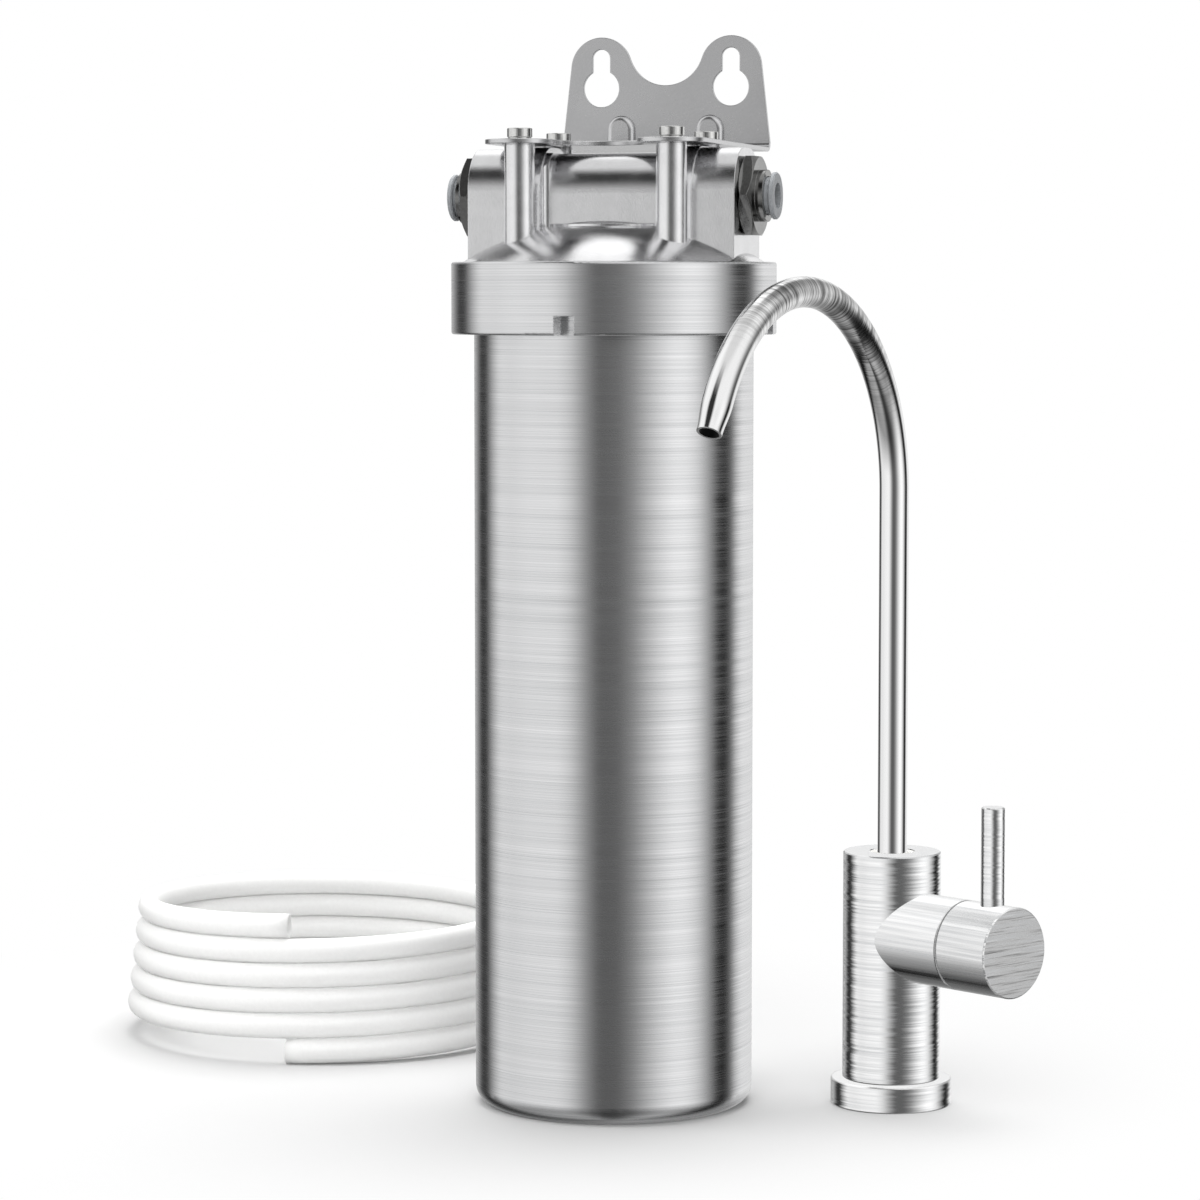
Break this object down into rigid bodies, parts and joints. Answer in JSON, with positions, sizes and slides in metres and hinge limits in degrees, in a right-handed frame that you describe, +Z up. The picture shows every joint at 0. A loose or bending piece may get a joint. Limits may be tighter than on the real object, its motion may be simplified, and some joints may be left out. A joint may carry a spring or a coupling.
{
  "type": "under-sink water filter",
  "caption": "Under-sink water filter: steel canister with ring nut, ported head and wall bracket, a gooseneck faucet with a lever valve and swivel spout, and a coil of tubing.",
  "frame": {"origin": "middle of the canister's base, on the canister's axis, where it stands", "axes": "+Z up along the canister's axis, +Y towards the wall behind the bracket, +X towards the outlet and the faucet"},
  "size_m": [0.345, 0.2713, 0.3487],
  "materials": {
    "brushed_steel": "horizontal brush lines",
    "satin_cast_steel": "satin, bead blasted and polished",
    "polished_steel": "polished",
    "plain_steel_sheet": "plain satin grey",
    "zinc_plated_steel": "bright plated",
    "black_rubber": "matte",
    "grey_rubber": "matte",
    "grey_plastic": "moulded satin",
    "white_plastic": "moulded satin",
    "white_tubing": "smooth satin",
    "carbon": "pressed granular",
    "white_fleece": "spun fibre",
    "brass": "machined",
    "white_ceramic": "lapped"
  },
  "bodies": {
    "canister": {"canister": "brushed_steel", "cartridge_seat": "white_plastic", "bottom_gasket": "grey_rubber", "bottom_end_cap": "white_plastic", "carbon_block": "carbon", "core_tube": "white_plastic", "filter_wrap": "white_fleece", "top_end_cap": "white_plastic", "top_gasket": "grey_rubber", "faucet_base": "brushed_steel", "base_gasket": "black_rubber", "faucet_body": "brushed_steel", "spout_bush": "white_plastic", "valve_cartridge": "brass", "fixed_disc": "white_ceramic", "cartridge_nut": "brass", "tubing_coil": "white_tubing"},
    "ring_nut": {"ring_nut": "brushed_steel"},
    "head": {"head": "satin_cast_steel", "head_seal": "black_rubber", "wall_bracket": "plain_steel_sheet", "bracket_bolts": "zinc_plated_steel", "lock_washers": "zinc_plated_steel", "inlet_fitting": "polished_steel", "outlet_fitting": "polished_steel", "port_seals": "black_rubber", "tube_seals": "black_rubber", "grab_rings": "zinc_plated_steel"},
    "inlet_collet": {"inlet_collet": "grey_plastic"},
    "outlet_collet": {"outlet_collet": "grey_plastic"},
    "spout": {"spout": "polished_steel", "spout_ferrule": "brass", "spout_seals": "black_rubber"},
    "handle": {"handle_cap": "brushed_steel", "lever": "brushed_steel", "grub_screw": "zinc_plated_steel", "valve_spindle": "brass", "moving_disc": "white_ceramic"}
  },
  "joints": [
    {"name": "ring_turn", "type": "hinge", "parent": "canister", "child": "ring_nut", "pos_m": [0, 0, 0.26], "axis": [0, 0, -1], "range_deg": [0, 1080]},
    {"name": "head_lift", "type": "slide", "parent": "canister", "child": "head", "axis": [0, 0, 1], "range_m": [0, 0.0121]},
    {"name": "inlet_collet_press", "type": "slide", "parent": "head", "child": "inlet_collet", "axis": [1, 0, 0], "range_m": [0, 0.0012]},
    {"name": "outlet_collet_press", "type": "slide", "parent": "head", "child": "outlet_collet", "axis": [-1, 0, 0], "range_m": [0, 0.0012]},
    {"name": "spout_swivel", "type": "hinge", "parent": "canister", "child": "spout", "pos_m": [0.0881, 0.02, 0.08], "axis": [0, 0, 1], "range_deg": [-15, 245]},
    {"name": "handle_turn", "type": "hinge", "parent": "canister", "child": "handle", "pos_m": [0.0881, 0.02, 0.0555], "axis": [0.848, -0.5299, 0], "range_deg": [0, 90]}
  ],
  "couplings": [
    {"joint": "head_lift", "follows": "ring_turn", "m_per_rad": 0.00063662}
  ]
}
